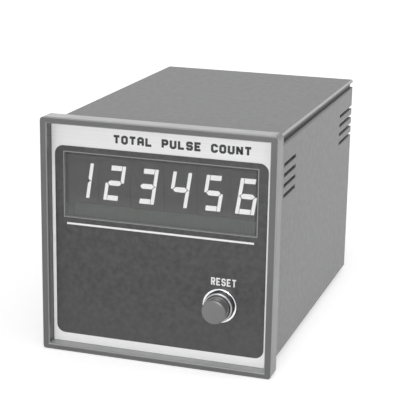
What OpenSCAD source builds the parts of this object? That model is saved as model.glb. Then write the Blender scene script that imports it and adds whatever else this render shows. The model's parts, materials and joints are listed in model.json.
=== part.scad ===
// Panel counter: a square flush-mounting counter with a six digit display and a
// reset button, made to go through a cut-out in a control panel.
// Frame: the origin is the centre of the panel seat, the rear face of the bezel.
// +X is right seen from the front, +Y runs to the rear, +Z is up. Millimetres.

/* [Bezel] */
// Width and height of the square bezel
bezel_size = 96; // [95.5:0.5:104]
// How far the bezel stands in front of the panel
bezel_depth = 7.2; // [6.4:0.1:9]
// Width of the land above and below the fascia
bezel_land = 2.6; // [2.2:0.1:3.2]
// Width of the land at the fascia's sides
side_land = 3; // [2.4:0.1:3.2]
// Radius of the bezel's four outer corners
bezel_corner_r = 2.2; // [1:0.1:2.4]
// Radius along the bezel's outer front edges
bezel_edge_r = 0.8; // [0.4:0.1:1]
// Radius along the land's inner edges
opening_edge_r = 0.5; // [0.3:0.1:0.8]
// Thickness of the ledge that carries the fascia
ledge_t = 1; // [0.8:0.1:1.6]
// Length of the skirt that plugs into the case
skirt_length = 8; // [7:0.5:9]
// Wall of the skirt
skirt_wall = 1.8; // [1.4:0.1:2]
// Width of a snap barb on the skirt
snap_w = 14; // [8:1:20]
// How far a snap barb stands out of the skirt
snap_h = 0.8; // [0.4:0.1:1]

/* [Case] */
// Width of the panel seat round the case
seat_lip = 2.5; // [2.3:0.1:3]
// Depth of the case behind the panel seat
case_depth = 135; // [128:1:160]
// Wall of the case
case_wall = 2.2; // [1.8:0.1:2.4]
// Radius of the case's long edges and rear edges
case_edge_r = 1.2; // [0.6:0.1:1.6]
// How far the case's mouth enters the bezel
case_entry = 0.6; // [0.4:0.1:0.8]
// Height of the shadow line below each top edge
shadow_line_h = 2.4; // [1.4:0.2:3]
// Depth of the shadow line
shadow_line_d = 1.4; // [0.6:0.1:1.5]

/* [Vents] */
// Vent slots in each group
vent_count = 4; // [2:1:6]
// Distance between vent slots
vent_pitch = 4.15; // [3.4:0.05:5]
// Height of a vent slot
vent_h = 1.6; // [1:0.1:2.4]
// Height of the top slot above the case's centre
vent_top_z = 32.6; // [28:0.1:36]
// Where the front slots start
vent_front_y = 12; // [10:0.5:20]
// Length of the front slots
vent_front_l = 18; // [10:1:30]
// Length of the rear slots along the side
vent_rear_l = 26; // [14:1:34]
// How far the rear slots reach round onto the rear wall
vent_wrap = 6.5; // [4:0.5:9]

/* [Fascia] */
// Thickness of the fascia plate
plate_t = 1; // [0.8:0.1:1.5]
// Thickness of the dark overlay
overlay_t = 0.25; // [0.2:0.05:0.4]
// Plate left bare at the sides of the overlay
field_side = 1.5; // [1.2:0.1:3]
// Plate left bare below the overlay
field_bottom = 3.75; // [2:0.05:5]
// Plate left bare above the overlay
header_h = 9.1; // [8:0.1:10]
// Corner radius of the overlay
field_corner_r = 3.5; // [2:0.1:5]

/* [Window] */
// Overlay left at each side of the window
window_side = 4.1; // [3:0.1:6]
// Height of the display window
window_h = 25.9; // [22:0.1:28]
// Overlay left above the window
window_top = 2.6; // [1.6:0.1:3]
// How far the window stands in front of the overlay
window_proud = 0.45; // [0.2:0.05:0.8]
// Bevel round the window's front
window_bevel = 0.5; // [0.2:0.1:0.6]
// Width of the flange behind the plate
flange_w = 1; // [0.6:0.1:1]
// Thickness of the flange
flange_t = 1.4; // [1:0.1:2]

/* [Digits] */
// Height of a figure
digit_h = 14.2; // [12:0.1:15]
// Width of a figure
digit_w = 7.6; // [6:0.1:8]
// Width of an upright segment
segment_w = 1.4; // [1:0.1:1.8]
// Height of a level segment
bar_w = 2; // [1.2:0.1:2.2]
// Gap between segments
segment_gap = 0.2; // [0.1:0.05:0.3]
// Depth of a segment's pocket
segment_t = 1; // [0.6:0.1:2]
// Slant of the figures in degrees
digit_slant = 8.5; // [0:0.5:10]
// How far the row of digits reaches past each side of the window
housing_lap = 1.3; // [0:0.1:1.4]
// Height of a digit housing
housing_h = 19; // [18.2:0.1:20]
// Depth of a digit housing
housing_d = 8; // [7:0.1:9]
// Gap between digit housings
housing_gap = 0.3; // [0.2:0.05:0.8]
// Digit faces behind the plate's front
digit_setback = 5; // [4.6:0.1:6]
// Digits above the middle of the window
digit_rise = 0.85; // [0:0.05:1.5]

/* [Reset button] */
// Button axis inside the overlay's right edge
button_side = 17.6; // [17:0.1:40]
// Button axis above the overlay's lower edge
button_up = 20.25; // [17:0.05:28]
// Outside radius of the chrome ring
ring_r = 6.9; // [6.6:0.05:8]
// Thickness of the chrome ring
ring_t = 1.8; // [1.4:0.1:2.4]
// Outside radius of the threaded bushing
bushing_r = 5.8; // [5.7:0.05:6]
// How far the bushing stands in front of the overlay
bushing_proud = 4.2; // [3:0.1:5]
// Radius of the button cap
cap_r = 4.9; // [4.6:0.1:5]
// Cap face in front of the overlay
cap_proud = 9.6; // [8:0.1:11]
// Radius of the cap's front edge
cap_edge_r = 0.7; // [0.3:0.1:1]
// Travel of the button
button_travel = 2.5; // [1.5:0.1:2.6]
// Radius of the plunger
plunger_r = 2; // [1.6:0.1:2.4]
// Turns of the return spring
spring_turns = 6; // [4:1:8]
// Radius of the spring wire
spring_wire_r = 0.3; // [0.2:0.05:0.35]

/* [Terminals] */
// Room beside the terminals for the block's fixing ears
block_side = 8.2; // [8:0.1:12]
// Distance between terminals
terminal_pitch = 8.5; // [8:0.1:9]
// Height of the terminal block
block_h = 18; // [16:0.5:20]
// Depth of the block's base
block_base = 8; // [7:0.5:10]
// How far the barriers stand behind the base
barrier_h = 6; // [5.5:0.5:8]
// Thickness of a barrier
barrier_t = 1.6; // [1.2:0.1:1.8]
// Middle of the block above the power board
block_rise = 5; // [5:0.1:7]

/* [Boards] */
// Thickness of the circuit boards
board_t = 1.6; // [1.2:0.1:2]
// Top of the power board above the case's floor
power_board_rise = 13.3; // [10.5:0.1:14.5]

/* [Hidden] */
$fn = 48;

// Fits
cut = 1;
entry_clearance = 0.1;
skirt_clearance = 0.2;
plate_clearance = 0.1;
window_clearance = 0.1;
thread_clearance = 0.05;
running_gap = 0.3;
hole_clearance = 0.15;
board_clearance = 0.6;
pin_clearance = 0.1;

// Bezel and case
bezel_half = bezel_size / 2;
opening_half_w = bezel_half - side_land;
opening_half_h = bezel_half - bezel_land;
case_half = bezel_half - seat_lip;
case_inner = case_half - case_wall;
skirt_outer = case_inner - skirt_clearance;
skirt_inner = skirt_outer - skirt_wall;
rear_inner_y = case_depth - case_wall;
snap_l = 2.4;
snap_tip = 0.6;
snap_y = skirt_length - snap_l - snap_tip;
snap_x = case_half / 2;
shadow_line_z = case_half - case_edge_r - shadow_line_h;

// Fascia
plate_rear_y = -case_entry - ledge_t;
plate_front_y = plate_rear_y - plate_t;
overlay_front_y = plate_front_y - overlay_t;
plate_half_w = opening_half_w - plate_clearance;
plate_half_h = opening_half_h - plate_clearance;
field_half_w = plate_half_w - field_side;
field_low_z = -plate_half_h + field_bottom;
field_high_z = plate_half_h - header_h;
window_w = 2 * (field_half_w - window_side);
window_high_z = field_high_z - window_top;
window_z = window_high_z - window_h / 2;
window_front_y = overlay_front_y - window_proud;
window_rear_y = plate_rear_y + flange_t;

// Display
digit_count = 6;
housing_w = (window_w + 2 * housing_lap - (digit_count - 1) * housing_gap) / digit_count;
digit_pitch = housing_w + housing_gap;
digit_z = window_z + digit_rise;
digit_face_y = plate_front_y + digit_setback;
board_front_y = digit_face_y + housing_d;
board_rear_y = board_front_y + board_t;
board_half = skirt_inner - board_clearance;
point_r = 0.8;
pin_w = 0.5;
pin_pitch = 2.54;
pin_row = 7.62;
pin_tail = 1.5;
pins_per_row = 5;

// Segments a to g that light for the figures 1 to 6
LIT = ["bc", "abdeg", "abcdg", "bcfg", "acdfg", "acdefg"];

// Board fixings
spacer_flat = 5;
spacer_gap = 0.3;
spacer_side = 2.8;
spacer_bottom = 1.2;
spacer_x = skirt_inner - spacer_flat / 2 - spacer_side;
spacer_high_z = window_high_z + flange_w + spacer_flat / 2 + spacer_gap;
spacer_low_z = -(skirt_inner - spacer_flat / 2 - spacer_bottom);
screw_r = 1.25;
screw_head_r = 2.3;
screw_head_h = 1.6;
screw_l = 8;
slot_w = 0.7;
slot_depth = 0.7;

// Reset button
button_x = field_half_w - button_side;
button_z = field_low_z + button_up;
ring_sink = 0.2;
ring_edge_r = 0.35;
bushing_edge_r = 0.25;
washer_t = 0.8;
washer_r = 8.5;
bushing_flange_r = 7.4;
bushing_flange_t = 2;
bushing_front_y = overlay_front_y - bushing_proud;
bushing_seat_y = plate_rear_y + washer_t;
switch_front_y = bushing_seat_y + bushing_flange_t;
switch_size = 15;
switch_wall = 2;
switch_base_t = 1.6;
switch_base_y = board_front_y - switch_base_t;
cavity_r = 5.7;
bore_r = cap_r + running_gap;
cap_front_y = overlay_front_y - cap_proud;
cap_wall = 1;
cap_face_t = 1.2;
cap_stop = 0.5;
cap_rear_y = switch_front_y - button_travel - cap_stop;
cap_inner_r = cap_r - cap_wall;
cap_inner_y = cap_front_y + cap_face_t;
collar_w = 1.5;
collar_r = plunger_r + collar_w;
collar_y = switch_front_y + switch_wall + running_gap;
collar_t = 1;
bridge_y = collar_y + collar_t;
bridge_t = 0.4;
bridge_l = 10;
bridge_w = 2.4;
contact_gap = 0.1;
contact_y = bridge_y + bridge_t + button_travel + contact_gap;
contact_x = 4;
contact_r = 0.9;
tail_w = 0.8;
spring_r = cap_inner_r - spring_wire_r - running_gap;
spring_steps = 14;
spring_sides = 6;
spring_gap = 0.05;
spring_start = cap_inner_y + spring_wire_r + spring_gap;
spring_end = switch_front_y - spring_wire_r - spring_gap;

// Terminals
power_board_z = power_board_rise - case_inner;
terminal_count = floor((2 * (case_inner - block_side) - barrier_t) / terminal_pitch);
block_half = terminal_count * terminal_pitch / 2 + barrier_t / 2;
block_ear = 3.2;
terminal_z = power_board_z + block_rise;
terminal_plate_l = 11;
terminal_plate_t = 1;
terminal_plate_gap = 0.3;
terminal_plate_w = terminal_pitch - barrier_t - 2 * terminal_plate_gap;
terminal_screw_r = 1.5;
terminal_head_r = 2.9;
terminal_head_h = 2;
terminal_screw_l = 5;
tail_t = 0.8;
tail_z = power_board_z + tail_t / 2;
tail_strip_w = 3;
tail_room = 1;
tail_slot_w = (terminal_count - 1) * terminal_pitch + tail_strip_w + tail_room;
tail_l = 7;
block_face_y = case_depth + block_base;
block_screw_r = 1.25;
block_screw_x = block_half + block_ear;
boss_r = 2.9;
boss_l = 6;

// Power board
power_board_gap = 1;
power_half = case_inner - board_clearance;
power_front_y = board_rear_y + power_board_gap;
power_rear_y = rear_inner_y - power_board_gap;
rail_d = 2;
rail_h = 1.6;
rail_gap = 0.1;
rail_start = 6;

// Transformer
core_w = 41;
core_h = 34;
core_t = 16;
leg_w = 13.6;
core_window_w = 6.8;
core_window_h = 20.4;
core_x = -16;
core_from_front = 52;
core_y = power_front_y + core_from_front;
bobbin_wall = 0.8;
bobbin_gap = 0.15;
bobbin_flange = 1.2;
bobbin_pins = 4;
bobbin_pin_pitch = 5.08;
bobbin_pin_y = 12;
core_base_z = power_board_z;
window_base_z = core_base_z + (core_h - core_window_h) / 2;

// Link header between the two boards
link_pins = 10;
link_body_w = 2.4;
link_body_h = 2.6;
link_from_front = 3;
link_y = power_front_y + link_from_front;
link_z = power_board_z + link_body_h / 2;

// Dual in-line chips on the rear of the display board
counter_chip_pins = 28;
counter_chip_row = 15.24;
counter_chip_x = -12;
driver_chip_pins = 16;
driver_chip_row = 7.62;
driver_chip_x = 18;
chip_gap = 1.5;
driver_chip_z = digit_z - housing_h / 2 - driver_chip_row / 2 - chip_gap;
counter_chip_z = driver_chip_z - (driver_chip_row + counter_chip_row) / 2 - chip_gap;
chip_h = 3.6;
chip_stand = 0.5;
chip_inset = 0.6;
shoulder_l = 1.4;

// Supply parts on the power board
capacitor_r = 8;
capacitor_h = 25;
capacitor_side = 18.7;
capacitor_x = power_half - capacitor_side;
capacitor_spacing = 24;
capacitor_y = [core_y - capacitor_spacing / 2, core_y + capacitor_spacing / 2];
groove_z = 4;
groove_r = 1.2;
groove_d = 0.7;
diode_r = 1.4;
diode_l = 5.2;
diode_span = 10;
diode_x = [-6, 0, 6, 12];
diode_from_front = 22;
diode_y = power_front_y + diode_from_front;
lead_bore = 2.5;
lead_seat = 0.2;
regulator_x = -14;
regulator_from_rear = 26.8;
regulator_y = power_rear_y - regulator_from_rear;
regulator_stand = 5;
regulator_h = 9;
regulator_t = 3.2;
leg_entry = 1;
tab_t = 1.3;
tab_w = 10;
tab_h = 15.5;
tab_hole = 12;
tab_front_y = regulator_y + pin_w;
sink_y = tab_front_y + tab_t;
heatsink_w = 30;
heatsink_h = 24;
heatsink_fin = 9;
heatsink_fins = 5;
heatsink_t = 2;
fin_pitch = (heatsink_w - heatsink_t) / (heatsink_fins - 1);
regulator_hole_z = power_board_z + regulator_stand + tab_hole;

function at_digit(i) = (i - (digit_count - 1) / 2) * digit_pitch;
function at_link(i) = (i - (link_pins - 1) / 2) * pin_pitch;
function at_terminal(i) = (i - (terminal_count - 1) / 2) * terminal_pitch;
function has(word, letter) = len(search(letter, word)) > 0;
function sheared(points) = [for (p = points) [p[0] + p[1] * tan(digit_slant), p[1]]];
function flip_x(points) = [for (p = points) [-p[0], p[1]]];
function flip_z(points) = [for (p = points) [p[0], -p[1]]];

// Extrudes a shape drawn in X and Z along Y
module along_y(y0, y1) {
    translate([0, y1, 0])
        rotate([90, 0, 0])
            linear_extrude(height = y1 - y0)
                children();
}

// Turns a profile drawn as radius and Y about the Y axis
module turned() {
    rotate([-90, 0, 0])
        rotate_extrude()
            children();
}

// Round bar along Y
module rod(r, y0, y1) {
    translate([0, y0, 0])
        rotate([-90, 0, 0])
            cylinder(r = r, h = y1 - y0);
}

// Rectangle in X and Z with round corners
module rounded_rect(w, h, r) {
    square([w, h - 2 * r], center = true);
    square([w - 2 * r, h], center = true);
    for (x = [-1, 1], z = [-1, 1])
        translate([x * (w / 2 - r), z * (h / 2 - r)])
            circle(r = r);
}

// What a radius takes off along one edge: a bar along X, centred on the radius
module edge_bar(length, r) {
    rotate([90, 0, 90])
        linear_extrude(height = length, center = true)
            difference() {
                translate([-2 * r, 0])
                    square(2 * r);
                circle(r = r);
            }
}

// Profile of a turned ring from y0 to y1 with its outer front edge rounded
module ring_profile(r0, r1, y0, y1, edge) {
    translate([r0, y0])
        square([r1 - r0 - edge, y1 - y0]);
    translate([r0, y0 + edge])
        square([r1 - r0, y1 - y0 - edge]);
    translate([r1 - edge, y0 + edge])
        circle(r = edge);
}

// Pan head screw along Y with its head towards the rear, seated at Y = 0
module pan_screw(r, length, head_r, head_h) {
    difference() {
        union() {
            rod(r, -length, 0);
            turned()
                mirror([0, 1])
                    ring_profile(0, head_r, -head_h, 0, head_h / 3);
        }
        translate([0, head_h, 0])
            cube([slot_w, 2 * slot_depth, 3 * head_r], center = true);
    }
}

// Bezel: land, ledge for the fascia, rebate for the case and a skirt with barbs
module front_bezel() {
    color("#77787a")
        difference() {
            union() {
                along_y(-bezel_depth, 0)
                    rounded_rect(bezel_size, bezel_size, bezel_corner_r);
                along_y(-case_entry, skirt_length)
                    square(2 * skirt_outer, center = true);
                snap_barbs(snap_h, 0);
            }
            intersection() {
                flared_slot(opening_half_h);
                rotate([0, 90, 0])
                    flared_slot(opening_half_w);
            }
            along_y(-bezel_depth - cut, skirt_length + cut)
                square(2 * skirt_inner, center = true);
            along_y(-case_entry, cut)
                difference() {
                    square(2 * (case_half + entry_clearance), center = true);
                    square(2 * skirt_outer, center = true);
                }
            for (turn = [0:90:270])
                rotate([0, turn, 0])
                    translate([0, bezel_edge_r - bezel_depth, bezel_half - bezel_edge_r])
                        edge_bar(bezel_size + cut, bezel_edge_r);
        }
}

// Slot along X down to the ledge, its front edges rounded, half its height above and below the axis
module flared_slot(half) {
    r = opening_edge_r;
    front = -bezel_depth;
    rotate([90, 0, 90])
        linear_extrude(height = bezel_size, center = true) {
            translate([front - cut, -half])
                square([plate_rear_y - front + cut, 2 * half]);
            for (side = [0, 1])
                mirror([0, side])
                    difference() {
                        translate([front - cut, half])
                            square([r + cut, r]);
                        translate([front + r, half + r])
                            circle(r = r);
                    }
        }
}

// Wedges on the skirt's top and bottom, or the pockets for them when grown by room
module snap_barbs(height, room) {
    for (x = [-1, 1], turn = [0, 180])
        rotate([0, turn, 0])
            translate([x * snap_x, snap_y - room, skirt_outer])
                rotate([90, 0, 90])
                    linear_extrude(height = snap_w + 2 * room, center = true)
                        polygon([
                            [0, -skirt_wall / 2],
                            [snap_l + 2 * room, -skirt_wall / 2],
                            [snap_l + 2 * room, room],
                            [0, height]
                        ]);
}

// Silver plate with the openings for the window and the button
module fascia_plate() {
    color("#d9dadb")
        along_y(plate_front_y, plate_rear_y)
            difference() {
                square([2 * plate_half_w, 2 * plate_half_h], center = true);
                window_opening();
                button_hole();
            }
}

// Dark overlay on the plate
module fascia_overlay() {
    color("#2b2b2c")
        along_y(overlay_front_y, plate_front_y)
            difference() {
                translate([0, (field_high_z + field_low_z) / 2])
                    rounded_rect(2 * field_half_w, field_high_z - field_low_z, field_corner_r);
                window_opening();
                button_hole();
            }
}

module window_opening() {
    translate([0, window_z])
        square([window_w + 2 * window_clearance, window_h + 2 * window_clearance], center = true);
}

module button_hole() {
    translate([button_x, button_z])
        circle(r = bushing_r + hole_clearance);
}

// Tinted window with a bevelled front and a flange behind the plate
module display_window() {
    bevel_bar = sqrt(2) * window_bevel;
    color("#4a4a4c")
        translate([0, 0, window_z])
            difference() {
                union() {
                    along_y(window_front_y, window_rear_y)
                        square([window_w, window_h], center = true);
                    along_y(plate_rear_y, window_rear_y)
                        square([window_w + 2 * flange_w, window_h + 2 * flange_w], center = true);
                }
                for (side = [-1, 1]) {
                    translate([side * window_w / 2, window_front_y, 0])
                        rotate([0, 0, 45])
                            cube([bevel_bar, bevel_bar, window_h + cut], center = true);
                    translate([0, window_front_y, side * window_h / 2])
                        rotate([45, 0, 0])
                            cube([window_w + cut, bevel_bar, bevel_bar], center = true);
                }
            }
}

// Outline of one segment of a figure centred on the origin. The uprights nearly meet at the middle,
// chamfered on their inner half for the pointed middle segment, and the level segments lie between them.
module segment(letter) {
    w = digit_w / 2;
    h = digit_h / 2;
    inner = w - segment_w;
    centre = w - segment_w / 2;
    half_gap = segment_gap / 2;
    point = segment_w / 2 + segment_gap;
    end = inner - segment_gap;
    tip = centre - segment_gap;
    shoulder = tip - bar_w / 2;
    bar = [[-end, h], [end, h], [end, h - bar_w], [-end, h - bar_w]];
    upright = [[inner, h], [w, h], [w, half_gap], [centre + half_gap, half_gap], [inner, point]];
    middle = [
        [-tip, 0], [-shoulder, bar_w / 2], [shoulder, bar_w / 2],
        [tip, 0], [shoulder, -bar_w / 2], [-shoulder, -bar_w / 2]
    ];
    polygon(sheared(
        letter == "a" ? bar :
        letter == "d" ? flip_z(bar) :
        letter == "b" ? upright :
        letter == "c" ? flip_z(upright) :
        letter == "f" ? flip_x(upright) :
        letter == "e" ? flip_x(flip_z(upright)) :
        middle
    ));
}

// Decimal point at the foot of a figure
module decimal_point() {
    translate([digit_w / 2 + 2 * point_r - digit_h / 2 * tan(digit_slant), point_r - digit_h / 2])
        circle(r = point_r);
}

// Moves a shape to digit i
module place_digit(i) {
    translate([at_digit(i), 0, digit_z])
        children();
}

// Moulded housing of one digit, with a pocket for each segment
module digit_housing(i) {
    color("#5c5d5f")
        place_digit(i)
            difference() {
                along_y(digit_face_y, board_front_y)
                    square([housing_w, housing_h], center = true);
                along_y(digit_face_y - cut, digit_face_y + segment_t) {
                    for (letter = "abcdefg")
                        segment(letter);
                    decimal_point();
                }
            }
}

// Segments that light for this digit's figure
module lit_segments(i) {
    color("#f6f6f6")
        place_digit(i)
            along_y(digit_face_y, digit_face_y + segment_t)
                for (letter = "abcdefg")
                    if (has(LIT[i], letter))
                        segment(letter);
}

// Segments and decimal point that stay dark
module dark_segments(i) {
    color("#6a6b6d")
        place_digit(i)
            along_y(digit_face_y, digit_face_y + segment_t) {
                for (letter = "abcdefg")
                    if (!has(LIT[i], letter))
                        segment(letter);
                decimal_point();
            }
}

// Calls its children at each pin of the digits, in X and Z
module at_digit_pins() {
    for (i = [0:digit_count - 1], column = [0:pins_per_row - 1], row = [-1, 1])
        translate([
            at_digit(i) + (column - (pins_per_row - 1) / 2) * pin_pitch,
            digit_z + row * pin_row
        ])
            children();
}

module digit_pins() {
    color("silver")
        along_y(board_front_y, board_rear_y + pin_tail)
            at_digit_pins()
                square(pin_w, center = true);
}

module at_spacers() {
    for (x = [-1, 1], z = [spacer_low_z, spacer_high_z])
        translate([x * spacer_x, z])
            children();
}

// Board behind the fascia that carries the digits, the switch and the chips
module display_board() {
    color("#3e6b4a")
        along_y(board_front_y, board_rear_y)
            difference() {
                square(2 * board_half, center = true);
                at_digit_pins()
                    square(pin_w + 2 * pin_clearance, center = true);
                at_spacers()
                    circle(r = screw_r + hole_clearance);
                at_contacts()
                    square(tail_w + 2 * pin_clearance, center = true);
                at_link_pins()
                    square(pin_w + 2 * pin_clearance, center = true);
                at_chip_pins()
                    square(pin_w + 2 * pin_clearance, center = true);
            }
}

// Hexagon pillars welded to the plate's rear
module board_spacers() {
    color("#b9a36a")
        along_y(plate_rear_y, board_front_y)
            at_spacers()
                difference() {
                    circle(r = spacer_flat / 2 / cos(30), $fn = 6);
                    circle(r = screw_r + thread_clearance);
                }
}

module board_screws() {
    color("silver")
        for (x = [-1, 1], z = [spacer_low_z, spacer_high_z])
            translate([x * spacer_x, board_rear_y, z])
                pan_screw(screw_r, screw_l + board_t, screw_head_r, screw_head_h);
}

// Moves a shape to the button's axis
module on_button() {
    translate([button_x, 0, button_z])
        children();
}

// Chrome dress nut with a countersunk front
module button_ring() {
    inner = bushing_r + thread_clearance;
    front = overlay_front_y - ring_t;
    color("#e8e8e8")
        on_button()
            turned()
                difference() {
                    ring_profile(inner, ring_r, front, overlay_front_y, ring_edge_r);
                    polygon([
                        [inner - cut, front - cut],
                        [inner + ring_sink + cut, front - cut],
                        [inner - cut, front + ring_sink + cut]
                    ]);
                }
}

module lock_washer() {
    color("#b5b7b9")
        on_button()
            turned()
                translate([bushing_r + hole_clearance, plate_rear_y])
                    square([washer_r - bushing_r - hole_clearance, washer_t]);
}

// Threaded bushing with a rear flange that clamps on the switch body
module switch_bushing() {
    color("#a9abad")
        on_button()
            turned() {
                ring_profile(bore_r, bushing_r, bushing_front_y, switch_front_y, bushing_edge_r);
                translate([bore_r, bushing_seat_y])
                    square([bushing_flange_r - bore_r, bushing_flange_t]);
            }
}

// Square switch housing, open at the rear
module switch_body() {
    color("#2c2c2e")
        on_button()
            difference() {
                along_y(switch_front_y, switch_base_y)
                    square(switch_size, center = true);
                rod(plunger_r + running_gap, switch_front_y - cut, switch_front_y + 2 * switch_wall);
                rod(cavity_r, switch_front_y + switch_wall, switch_base_y + cut);
            }
}

// Calls its children at the two contact tails, in X and Z
module at_contacts() {
    for (side = [-1, 1])
        translate([button_x + side * contact_x, button_z])
            children();
}

// Base that closes the switch and holds the contacts
module switch_base() {
    color("#38383a")
        along_y(switch_base_y, board_front_y)
            difference() {
                translate([button_x, button_z])
                    square(switch_size, center = true);
                at_contacts()
                    square(tail_w, center = true);
            }
}

// Fixed contacts with tails through the base and the board
module switch_contacts() {
    color("#c9a94f")
        union() {
            along_y(contact_y, switch_base_y)
                at_contacts()
                    circle(r = contact_r);
            along_y(switch_base_y, board_rear_y + pin_tail)
                at_contacts()
                    square(tail_w, center = true);
        }
}

// Hollow cap with a round front edge
module button_cap() {
    color("#6f7072")
        on_button()
            turned()
                difference() {
                    ring_profile(0, cap_r, cap_front_y, cap_rear_y, cap_edge_r);
                    translate([-cut, cap_inner_y])
                        square([cap_inner_r + cut, cap_rear_y - cap_inner_y + cut]);
                }
}

// Stem from the cap to the switch, with the collar that stops it
module plunger() {
    color("#d8d4c8")
        on_button() {
            rod(plunger_r, cap_inner_y, bridge_y);
            rod(collar_r, collar_y, bridge_y);
        }
}

// Strip that closes the contacts when the button is pressed
module contact_bridge() {
    color("#c9a94f")
        on_button()
            along_y(bridge_y, bridge_y + bridge_t)
                square([bridge_l, bridge_w], center = true);
}

// Helical spring between the cap and the switch body
module return_spring() {
    rings = spring_turns * spring_steps;
    points = [
        for (i = [0:rings], j = [0:spring_sides - 1])
            let (
                turn = 360 * i / spring_steps,
                around = 360 * j / spring_sides,
                r = spring_r + spring_wire_r * cos(around),
                y = spring_start + (spring_end - spring_start) * i / rings + spring_wire_r * sin(around)
            )
            [r * cos(turn), y, r * sin(turn)]
    ];
    sides = [
        for (i = [0:rings - 1], j = [0:spring_sides - 1])
            let (next = (j + 1) % spring_sides)
            [
                i * spring_sides + j, i * spring_sides + next,
                (i + 1) * spring_sides + next, (i + 1) * spring_sides + j
            ]
    ];
    front = [for (j = [0:spring_sides - 1]) spring_sides - 1 - j];
    rear = [for (j = [0:spring_sides - 1]) rings * spring_sides + j];
    color("#c4c6c8")
        on_button()
            polyhedron(points, concat(sides, [front, rear]), convexity = 6);
}

// Moulded case: one bucket with vents, shadow lines and rails for the power board
module rear_case() {
    color("#97989a")
        difference() {
            union() {
                difference() {
                    case_outside();
                    along_y(-case_entry - cut, rear_inner_y)
                        square(2 * case_inner, center = true);
                }
                board_rails();
                for (side = [-1, 1])
                    translate([side * block_screw_x, 0, terminal_z])
                        rod(boss_r, rear_inner_y - boss_l, rear_inner_y + case_wall / 2);
            }
            side_vents();
            snap_barbs(snap_h + skirt_clearance, skirt_clearance);
            for (side = [-1, 1])
                translate([side * block_screw_x, 0, terminal_z])
                    rod(block_screw_r + thread_clearance, rear_inner_y - boss_l - cut, case_depth + cut);
            along_y(rear_inner_y - cut, case_depth + cut)
                translate([0, tail_z])
                    square([tail_slot_w, tail_t + tail_room], center = true);
        }
}

// Outer form of the case
module case_outside() {
    difference() {
        along_y(-case_entry, case_depth)
            rounded_rect(2 * case_half, 2 * case_half, case_edge_r);
        for (turn = [0:90:270])
            rotate([0, turn, 0])
                translate([0, case_depth - case_edge_r, case_half - case_edge_r])
                    mirror([0, 1, 0])
                        edge_bar(2 * case_half + cut, case_edge_r);
        for (side = [-1, 1])
            translate([side * case_half, (case_depth + cut) / 2, shadow_line_z + shadow_line_h / 2])
                cube([2 * shadow_line_d, case_depth + cut, shadow_line_h], center = true);
    }
}

// Rails above and below the power board on both side walls
module board_rails() {
    rail_front = skirt_length + rail_start;
    for (side = [-1, 1], z = [power_board_z + rail_gap, power_board_z - board_t - rail_gap - rail_h])
        translate([side * (case_inner - rail_d / 2 + rail_gap) - rail_d / 2, rail_front, z])
            cube([rail_d, rear_inner_y - rail_front + rail_gap, rail_h]);
}

// Slots through the side walls, the rear ones running round onto the rear wall
module side_vents() {
    for (side = [0, 1], i = [0:vent_count - 1])
        mirror([side, 0, 0])
            translate([0, 0, vent_top_z - i * vent_pitch - vent_h / 2]) {
                translate([case_inner - cut, vent_front_y, 0])
                    cube([case_wall + 2 * cut, vent_front_l, vent_h]);
                translate([case_half - vent_wrap, case_depth - vent_rear_l, 0])
                    cube([vent_wrap + cut, vent_rear_l + cut, vent_h]);
            }
}

// Barrier terminal block on the rear wall
module terminal_block() {
    color("#333335")
        difference() {
            union() {
                along_y(case_depth, block_face_y)
                    translate([0, terminal_z])
                        square([2 * block_half, block_h], center = true);
                for (i = [0:terminal_count])
                    along_y(case_depth, block_face_y + barrier_h)
                        translate([at_terminal(i) - terminal_pitch / 2, terminal_z])
                            square([barrier_t, block_h], center = true);
                for (side = [-1, 1])
                    along_y(case_depth, case_depth + block_base / 2)
                        translate([side * block_screw_x, terminal_z])
                            square([2 * block_ear + cut, block_h / 2], center = true);
            }
            for (side = [-1, 1])
                translate([side * block_screw_x, 0, terminal_z])
                    rod(block_screw_r + hole_clearance, case_depth - cut, block_face_y);
            for (i = [0:terminal_count - 1]) {
                translate([at_terminal(i), block_face_y, terminal_z])
                    rod(terminal_screw_r + thread_clearance, -terminal_screw_l, cut);
                along_y(case_depth - cut, case_depth + tail_l / 2)
                    translate([at_terminal(i), tail_z])
                        square([tail_strip_w, tail_t], center = true);
            }
        }
}

// Clamping plates under the terminal screws
module terminal_plates() {
    color("#c8c9ca")
        for (i = [0:terminal_count - 1])
            translate([at_terminal(i), 0, terminal_z])
                along_y(block_face_y, block_face_y + terminal_plate_t)
                    difference() {
                        square([terminal_plate_w, terminal_plate_l], center = true);
                        circle(r = terminal_screw_r + hole_clearance);
                    }
}

module terminal_screws() {
    color("#bfc1c3")
        for (i = [0:terminal_count - 1])
            translate([at_terminal(i), block_face_y + terminal_plate_t, terminal_z])
                pan_screw(terminal_screw_r, terminal_screw_l, terminal_head_r, terminal_head_h);
}

// Flat tails from the block to pads on the power board
module terminal_tails() {
    color("#c8c9ca")
        for (i = [0:terminal_count - 1])
            along_y(power_rear_y - tail_l, case_depth + tail_l / 2)
                translate([at_terminal(i), tail_z])
                    square([tail_strip_w, tail_t], center = true);
}

module block_screws() {
    color("silver")
        for (side = [-1, 1])
            translate([side * block_screw_x, case_depth + block_base / 2, terminal_z])
                pan_screw(block_screw_r, screw_l, screw_head_r, screw_head_h);
}

// Board on the case's rails that carries the power supply
module power_board() {
    color("#3e6b4a")
        difference() {
            translate([-power_half, power_front_y, power_board_z - board_t])
                cube([2 * power_half, power_rear_y - power_front_y, board_t]);
            at_power_leads()
                cube([pin_w + 2 * pin_clearance, pin_w + 2 * pin_clearance, 4 * board_t], center = true);
        }
}

module at_link_pins() {
    for (i = [0:link_pins - 1])
        translate([at_link(i), link_z])
            children();
}

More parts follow.
